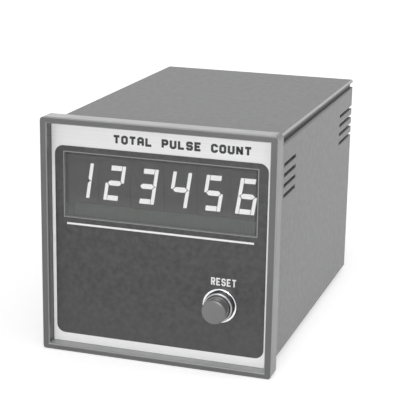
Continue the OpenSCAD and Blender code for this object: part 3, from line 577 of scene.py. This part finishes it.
def bezel_moulding(colour):
    """Satin moulding with painted highlights on its front edges, painted light on its ledge and painted
    shade on the walls beside the plate.
    """
    painted_band, highlight_depth, ledge, open_wall = 0.3 * MM, 0.6 * MM, 0.5 * MM, 0.8 * MM
    finish = moulding("bezel_plastic", colour, 0.32, grain=1 / (0.7 * MM), depth=0.004 * MM)
    front, wide, high = BEZEL_LOW.y, PLATE_HIGH.x, PLATE_HIGH.z
    across = finish.math("ABSOLUTE", finish.axis("X"))
    upright = finish.math("ABSOLUTE", finish.axis("Z"))
    within = finish.band(across, 0, wide + painted_band)
    # Painted shade: the recess walls beside the plate are darker.
    beside = finish.band(across, wide, wide + painted_band)
    behind = finish.band(finish.axis("Y"), front + open_wall, 0)
    finish.tinge(shade(colour, 0.4), finish.both(beside, behind))
    # Painted light: the ledge below the plate is lighter, as if lit from above.
    below = finish.band(finish.axis("Z"), -high - ledge, -high)
    finish.tinge(shade(colour, 3.0), finish.both(below, within))
    # Painted highlight along the inner and outer front edges, where rounded edges would catch the light.
    inner = finish.both(finish.band(upright, 0, high + painted_band), within)
    outer = finish.band(finish.square_radius(), BEZEL_HIGH.x - painted_band, BEZEL_HIGH.x)
    ahead = finish.band(finish.axis("Y"), front, front + highlight_depth)
    finish.tinge(shade(colour, 2.9), finish.both(finish.math("MAXIMUM", inner, outer), ahead))
    return finish.set(Coat_Weight=0.3, Coat_Roughness=0.2)


def case_moulding(colour):
    """Grained moulding with a painted highlight along its top edges and painted shade below its grooves.

    It is painted darker as shade in the grooves, the slots and inside.
    """
    painted_band, shadow_drop = 0.6 * MM, 1.0 * MM
    finish = moulding(
        "case_plastic", colour, 0.72, grain=1 / (0.45 * MM), depth=0.02 * MM, spread=0.10, clouds=400)
    high = CASE_HIGH
    foot = high.z - GROOVE_FOOT
    # Painted highlight along the top edges.
    rim = finish.band(finish.math("ABSOLUTE", finish.axis("X")), high.x - painted_band, high.x)
    lip = finish.band(finish.axis("Z"), high.z - painted_band, high.z)
    finish.tinge(shade(colour, 1.8), finish.both(rim, lip))
    # Painted shade on the side just below each groove, strongest at the front and fading towards the rear.
    below = finish.band(finish.axis("Z"), foot - shadow_drop, foot)
    groove_shadow = finish.both(below, finish.ranged(finish.axis("Y"), 0.9, 0.2, 0, high.y))
    finish.tinge(shade(colour, 0.45), finish.both(rim, groove_shadow))
    # Painted shade: darker in the grooves, the slots and inside.
    across = finish.ranged(finish.square_radius(), 1, 0, high.x - SHADE_INSET - FADE, high.x - SHADE_INSET)
    along = finish.ranged(finish.axis("Y"), 1, 0, high.y - SHADE_INSET - FADE, high.y - SHADE_INSET)
    return finish.tinge(shade(colour, 0.45), finish.both(across, along))


def brushed_plate(colour):
    """Silver paint on a plate brushed along X, with painted light that makes it paler below the header."""
    header = 12 * MM
    finish = metal(
        "silver_plate", colour, 0.40, streak=(25, 2500, 4200), spread=0.04, depth=0.004 * MM)
    # Painted light: lighter below the header, lifting the narrow strips out of the bezel's shade.
    below = finish.ranged(finish.axis("Z"), 1, 0, PLATE_HIGH.z - 2 * header, PLATE_HIGH.z - header)
    finish.tinge(shade(colour, 1.18), below)
    return finish.set(Metallic=0.12)


def film(colour):
    """Dark speckled film with a faint orange peel, a little lighter towards its foot."""
    paler_reach = 25 * MM
    finish = moulding(
        "dark_overlay", colour, 0.38, grain=1 / (1.2 * MM), depth=0.008 * MM, spread=0.30, clouds=450)
    foot = finish.ranged(finish.axis("Z"), 0.5, 0, PLATE_LOW.z, PLATE_LOW.z + paler_reach)
    return finish.tinge(shade(colour, 1.8), foot)


def tinted_window(colour, cover):
    """Smoked acrylic, faintly cloudy and paler at its foot as a painted reflection, that lets the lit
    digits through.
    """
    pale = 12 * MM
    finish = Finish("window_tint")
    cloud = finish.noise((300, 300, 300), 3)
    finish.mottle(colour, 0.15, cloud)
    finish.rough(0.10, 0.16, cloud)
    # Painted reflection: paler towards the foot.
    foot = finish.ranged(finish.axis("Z"), 1, 0, WINDOW_LOW.z, WINDOW_LOW.z + pale)
    finish.tinge(shade(colour, 1.5), foot)
    return finish.set(Alpha=cover, IOR=1.49)


def lit_segment(glow):
    """Light pipe that glows, a little brighter in places."""
    finish = Finish("lit_segment")
    cloud = finish.noise((300, 300, 300), 2)
    finish.mottle((0.92, 0.92, 0.92), 0.04, cloud)
    finish.rough(0.30, 0.40, cloud)
    return finish.set(Emission_Color=(1.0, 1.0, 1.0), Emission_Strength=glow)


def board_laminate():
    """Green solder mask with raised tracks across the board."""
    finish = Finish("board_laminate")
    tracks = finish.stripes((420, 420, 60), "DIAGONAL")
    finish.mottle((0.055, 0.15, 0.075), 0.30, tracks)
    finish.rough(0.32, 0.45, tracks)
    return finish.bump(tracks, 0.03 * MM)


def laminations():
    """Varnished iron sheets stacked along Y."""
    finish = Finish("core_steel")
    sheets = finish.stripes((1, 3200, 1), "Y")
    finish.mottle((0.15, 0.15, 0.155), 0.35, sheets)
    finish.rough(0.40, 0.55, sheets)
    finish.bump(sheets, 0.08 * MM)
    return finish.set(Metallic=0.6)


def winding():
    """Enamelled copper wire laid in turns up the bobbin."""
    finish = Finish("winding_copper")
    turns = finish.stripes((1, 1, 3000), "Z")
    finish.mottle((0.50, 0.20, 0.08), 0.25, turns)
    finish.rough(0.22, 0.34, turns)
    finish.bump(turns, 0.12 * MM)
    return finish.set(Metallic=0.8, Coat_Weight=0.4)


def printed(name, colour):
    """Screen ink with a faint unevenness; it also makes the painted highlight round the window."""
    finish = Finish(name)
    specks = finish.noise((900, 900, 900), 3)
    finish.mottle(colour, 0.04, specks)
    finish.rough(0.45, 0.60, specks)
    return finish.bump(specks, 0.004 * MM)


def dress(slot, finish):
    """Gives a finish to every node of the record's slot."""
    found = [row["node"] for row in frame["record"]["subparts"] if row["material_slot"] == slot]
    if not found:
        raise RuntimeError(f"no node has the slot {slot}")
    for node in found:
        paint(frame["nodes"][node], finish)


def paint(piece, finish):
    """Makes a finish the one material of a piece."""
    piece.data.materials.clear()
    piece.data.materials.append(finish.material)


# Operators

class COUNTER_OT_mouldings(bpy.types.Operator):
    """Finish the bezel, the case and the terminal block"""

    bl_idname = "counter.mouldings"
    bl_label = "Mouldings"

    def execute(self, context):
        colours = context.scene.counter_finish
        dress("bezel_plastic", bezel_moulding(colours.bezel))
        dress("case_plastic", case_moulding(colours.case))
        dress("block_plastic", moulding("block_plastic", (0.035, 0.035, 0.036), 0.45))
        return {"FINISHED"}


class COUNTER_OT_fascia(bpy.types.Operator):
    """Finish the silver plate and the dark overlay"""

    bl_idname = "counter.fascia"
    bl_label = "Fascia"

    def execute(self, context):
        colours = context.scene.counter_finish
        dress("silver_plate", brushed_plate(colours.plate))
        dress("dark_overlay", film(colours.overlay))
        return {"FINISHED"}


class COUNTER_OT_display(bpy.types.Operator):
    """Finish the window, the digit housings and the segments"""

    bl_idname = "counter.display"
    bl_label = "Display"

    def execute(self, context):
        colours = context.scene.counter_finish
        dress("window_tint", tinted_window(colours.window, colours.window_cover))
        black = (0.02, 0.02, 0.021)
        housing = moulding("digit_plastic", black, 0.8)
        dress("digit_plastic", housing.set(Specular_IOR_Level=0.2))
        dress("lit_segment", lit_segment(colours.digit_glow))
        unlit = moulding("dark_segment", black, 0.8, grain=1500)
        dress("dark_segment", unlit.set(Specular_IOR_Level=0.2))
        return {"FINISHED"}


class COUNTER_OT_button(bpy.types.Operator):
    """Finish the reset button, its ring and its switch"""

    bl_idname = "counter.button"
    bl_label = "Reset button"

    def execute(self, context):
        colours = context.scene.counter_finish
        dress("bright_chrome", metal("bright_chrome", (0.85, 0.85, 0.86), 0.10, spread=0.02))
        dress("nickel", metal("nickel", (0.55, 0.55, 0.56), 0.28))
        cap = moulding("button_plastic", colours.button, 0.35, grain=1 / (0.4 * MM), depth=0.004 * MM)
        dress("button_plastic", cap.set(Coat_Weight=1.0, Coat_Roughness=0.06))
        dress("switch_plastic", moulding("switch_plastic", (0.03, 0.03, 0.031), 0.48))
        dress("plunger_plastic", moulding("plunger_plastic", (0.62, 0.60, 0.54), 0.42))
        dress("contact_brass", metal("contact_brass", (0.70, 0.55, 0.25), 0.30))
        return {"FINISHED"}


class COUNTER_OT_inside(bpy.types.Operator):
    """Finish the boards, the supply and the fasteners"""

    bl_idname = "counter.inside"
    bl_label = "Boards and supply"

    def execute(self, context):
        dress("screw_steel", metal("screw_steel", (0.62, 0.62, 0.63), 0.30))
        dress("board_laminate", board_laminate())
        dress("chip_plastic", moulding("chip_plastic", (0.025, 0.025, 0.026), 0.55))
        dress("core_steel", laminations())
        dress("winding_copper", winding())
        sleeve = moulding("capacitor_sleeve", (0.05, 0.08, 0.13), 0.25, grain=900, depth=0.003 * MM)
        dress("capacitor_sleeve", sleeve)
        drawn = metal("heatsink_metal", (0.06, 0.06, 0.062), 0.42, streak=(2500, 2500, 40))
        dress("heatsink_metal", drawn)
        return {"FINISHED"}


class COUNTER_OT_bushing(bpy.types.Operator):
    """Cut the thread on the button's bushing"""

    bl_idname = "counter.bushing"
    bl_label = "Threaded bushing"

    def execute(self, context):
        settings = context.scene.counter_thread
        flange_radius = (BUSHING_HIGH.x - BUSHING_LOW.x) / 2
        points, faces = threaded_sleeve(BUSHING_LOW.y, BUSHING_HIGH.y, flange_radius, settings)
        piece = mesh_piece("threaded_bushing", "nickel", points + BUTTON_AXIS, faces)
        # Dark finish on the thread, made dark enough to stand also for the shade between the ring and the
        # rim; the lighter front rim is a painted highlight.
        finish = metal("threaded_nickel", (0.07, 0.07, 0.072), 0.34)
        rim = BUSHING_LOW.y + settings.lead_in
        bright = finish.ranged(finish.axis("Y"), 1, 0, rim, rim + FADE / 2)
        finish.tinge((0.45, 0.45, 0.46), bright)
        paint(piece, finish)
        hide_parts("switch_bushing")
        return {"FINISHED"}


class COUNTER_OT_spring(bpy.types.Operator):
    """Wind the return spring at one length, though the real one shortens as the button goes in"""

    bl_idname = "counter.spring"
    bl_label = "Return spring"

    def execute(self, context):
        settings = context.scene.counter_spring
        radius = (SPRING_HIGH.x - SPRING_LOW.x) / 2 - settings.wire_radius
        points, faces, caps = coil(radius, SPRING_LOW.y, SPRING_HIGH.y, settings)
        piece = mesh_piece("wound_spring", "spring_steel", points + BUTTON_AXIS, faces, caps)
        finish = metal("spring_steel", (0.60, 0.60, 0.61), 0.24)
        dress("spring_steel", finish)
        paint(piece, finish)
        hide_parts("return_spring")
        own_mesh(piece)
        return {"FINISHED"}


class COUNTER_OT_window_marks(bpy.types.Operator):
    """Paint a highlight line round the window and print the rule below it"""

    bl_idname = "counter.window_marks"
    bl_label = "Window outline and rule"

    def execute(self, context):
        prints = context.scene.counter_print
        colours = context.scene.counter_finish
        left = WINDOW_LOW.x + prints.window_flange
        right = WINDOW_HIGH.x - prints.window_flange
        bottom = WINDOW_LOW.z + prints.window_flange
        top = WINDOW_HIGH.z - prints.window_flange
        front = FIELD_LOW.y - prints.ink_height
        out = prints.outline_gap + prints.outline_width / 2
        frame_path = [(left - out, bottom - out), (left - out, top + out),
                      (right + out, top + out), (right + out, bottom - out)]
        outline = mesh_piece("window_outline", "dark_overlay", *bar(
            frame_path, prints.outline_width, front, FIELD_LOW.y, closed=True))
        # Painted highlight of the window's edge, drawn as a light grey line.
        paint(outline, printed("grey_ink", colours.window_edge_highlight))
        rule_z = bottom - prints.rule_drop
        rule_path = [(left + prints.rule_inset, rule_z), (right - prints.rule_inset, rule_z)]
        rule = mesh_piece("white_rule", "dark_overlay", *bar(
            rule_path, prints.rule_width, front, FIELD_LOW.y))
        paint(rule, printed("white_ink", colours.ink_white))
        return {"FINISHED"}


class COUNTER_OT_words(bpy.types.Operator):
    """Print the word above the button and the header's words"""

    bl_idname = "counter.words"
    bl_label = "Printed words"

    def execute(self, context):
        prints = context.scene.counter_print
        colours = context.scene.counter_finish
        over_button = (BUTTON_X + prints.reset_offset, BUTTON_Z + prints.reset_rise)
        front = FIELD_LOW.y - prints.ink_height
        reset = mesh_piece("button_word", "dark_overlay", *word_bars(
            "RESET", over_button, prints.reset_width, prints.reset_height, prints.reset_weight,
            front, FIELD_LOW.y))
        paint(reset, printed("button_ink", colours.ink_white))
        in_header = (prints.header_offset, PLATE_HIGH.z - prints.header_drop)
        front = PLATE_LOW.y - prints.ink_height
        header = mesh_piece("header_words", "silver_plate", *word_bars(
            "TOTAL PULSE COUNT", in_header, prints.header_width, prints.header_height,
            prints.header_weight, front, PLATE_LOW.y))
        paint(header, printed("black_ink", colours.ink_black))
        return {"FINISHED"}


class COUNTER_OT_stage(bpy.types.Operator):
    """Set the floor, the light and the camera"""

    bl_idname = "counter.stage"
    bl_label = "Stage"

    def execute(self, context):
        settings = context.scene.counter_stage
        lay_floor(CAD_BOX[0].z)
        light_world(context.scene, settings.fill)
        for name, (place, at, size) in LAMPS.items():
            soft_light(f"{name}_light", place, at, size, getattr(settings, f"{name}_power"))
        set_camera(context.scene, settings)
        context.scene.view_settings.view_transform = "Standard"
        return {"FINISHED"}


def seen_directly(tree):
    """1 for camera, glossy and transmission rays, and 0 for the rays that light the object."""
    path = tree.nodes.new("ShaderNodeLightPath")
    value = path.outputs["Is Camera Ray"]
    for other in ("Is Glossy Ray", "Is Transmission Ray"):
        either = tree.nodes.new("ShaderNodeMath")
        either.operation = "MAXIMUM"
        tree.links.new(value, either.inputs[0])
        tree.links.new(path.outputs[other], either.inputs[1])
        value = either.outputs["Value"]
    return value


def lay_floor(height):
    """A pale floor that keeps the object's shadow and shows plain white away from it.

    What it adds to the light that falls on it grows with the distance from the object.
    """
    reach, near, far = 6.0, 0.3, 1.2
    mesh = bpy.data.meshes.new("floor")
    corners = np.array([[-1, -1, 0], [1, -1, 0], [1, 1, 0], [-1, 1, 0]]) * reach + [0, 0, height]
    mesh.from_pydata(corners.tolist(), [], [[0, 1, 2, 3]])
    floor = bpy.data.objects.new("floor", mesh)
    bpy.context.scene.collection.objects.link(floor)
    finish = Finish("pale_floor")
    finish.mottle((0.86, 0.86, 0.86), 0.005, finish.noise((8, 8, 8), 2))
    finish.set(Roughness=0.9, Specular_IOR_Level=0.0, Emission_Color=(1.0, 1.0, 1.0))
    x, y = finish.axis("X"), finish.axis("Y")
    squared = finish.math("ADD", finish.math("MULTIPLY", x, x), finish.math("MULTIPLY", y, y))
    lift = finish.ranged(finish.math("SQRT", squared), 0.5, 0.8, near, far)
    shown = finish.both(seen_directly(finish.tree), lift)
    finish.link(shown, finish.shader.inputs["Emission Strength"])
    paint(floor, finish)


def light_world(scene, fill):
    """A white world where it is seen, and a softer light on the object."""
    world = bpy.data.worlds.new("studio")
    world.use_nodes = True
    tree = world.node_tree
    level = tree.nodes.new("ShaderNodeMapRange")
    level.inputs["To Min"].default_value = fill
    level.inputs["To Max"].default_value = 1.0
    tree.links.new(seen_directly(tree), level.inputs["Value"])
    background = tree.nodes["Background"]
    background.inputs["Color"].default_value = (1, 1, 1, 1)
    tree.links.new(level.outputs["Result"], background.inputs["Strength"])
    scene.world = world


def aimed(place, at):
    """Matrix of a lamp at a place, its -Z axis towards a point, and its X axis level unless it is steep."""
    back = np.array(place, float) - np.array(at, float)
    back /= np.linalg.norm(back)
    right = np.cross([0, 1, 0] if abs(back[2]) > STEEP else [0, 0, 1], back)
    right /= np.linalg.norm(right)
    up = np.cross(back, right)
    columns = np.column_stack([right, up, back, place])
    return Matrix(np.vstack([columns, [0, 0, 0, 1]]).tolist())


def soft_light(name, place, at, size, power):
    """A square softbox."""
    data = bpy.data.lights.new(name, "AREA")
    data.shape = "SQUARE"
    data.size = size
    data.energy = power
    lamp = bpy.data.objects.new(name, data)
    bpy.context.scene.collection.objects.link(lamp)
    lamp.matrix_world = aimed(place, at)


def set_camera(scene, settings):
    """The camera at the photograph's angle: turned left by the yaw, then tilted, then rolled."""
    data = bpy.data.cameras.new("camera")
    data.sensor_fit = "VERTICAL"
    data.sensor_height = data.sensor_width
    data.lens = settings.focal_pixels * data.sensor_height / IMAGE_HEIGHT
    data.clip_start = 0.01
    data.clip_end = 50
    camera = bpy.data.objects.new("camera", data)
    scene.collection.objects.link(camera)
    turn = Matrix.Rotation(settings.yaw, 4, "Z") @ Matrix.Rotation(settings.pitch, 4, "X")
    turn = turn @ Matrix.Rotation(settings.roll, 4, "Y") @ Matrix.Rotation(math.radians(90), 4, "X")
    camera.matrix_world = Matrix.Translation(settings.eye) @ turn
    scene.camera = camera


class COUNTER_PT_looks(bpy.types.Panel):
    """Buttons for each group of pieces, and the settings that they read"""

    bl_label = "Panel Counter"
    bl_space_type = "VIEW_3D"
    bl_region_type = "UI"
    bl_category = "Counter"

    def draw(self, context):
        for operator in OPERATORS:
            self.layout.operator(operator.bl_idname)
        for name in SETTINGS:
            settings = getattr(context.scene, name)
            box = self.layout.box()
            for prop in settings.__annotations__:
                box.prop(settings, prop)


SETTINGS = {
    "counter_finish": CounterFinishSettings,
    "counter_print": CounterPrintSettings,
    "counter_thread": CounterThreadSettings,
    "counter_spring": CounterSpringSettings,
    "counter_stage": CounterStageSettings,
}
OPERATORS = (
    COUNTER_OT_stage,
    COUNTER_OT_mouldings,
    COUNTER_OT_fascia,
    COUNTER_OT_display,
    COUNTER_OT_button,
    COUNTER_OT_inside,
    COUNTER_OT_bushing,
    COUNTER_OT_spring,
    COUNTER_OT_window_marks,
    COUNTER_OT_words,
)
CLASSES = (*SETTINGS.values(), *OPERATORS, COUNTER_PT_looks)


def register():
    """Registers the classes and gives the scene its settings."""
    for cls in CLASSES:
        bpy.utils.register_class(cls)
    for name, group in SETTINGS.items():
        setattr(bpy.types.Scene, name, PointerProperty(type=group))


def unregister():
    """Takes the settings off the scene and the classes away."""
    for name in SETTINGS:
        delattr(bpy.types.Scene, name)
    for cls in reversed(CLASSES):
        bpy.utils.unregister_class(cls)


def main():
    """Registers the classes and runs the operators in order."""
    register()
    for operator in OPERATORS:
        group, action = operator.bl_idname.split(".")
        getattr(getattr(bpy.ops, group), action)()


if __name__ == "__main__":
    main()
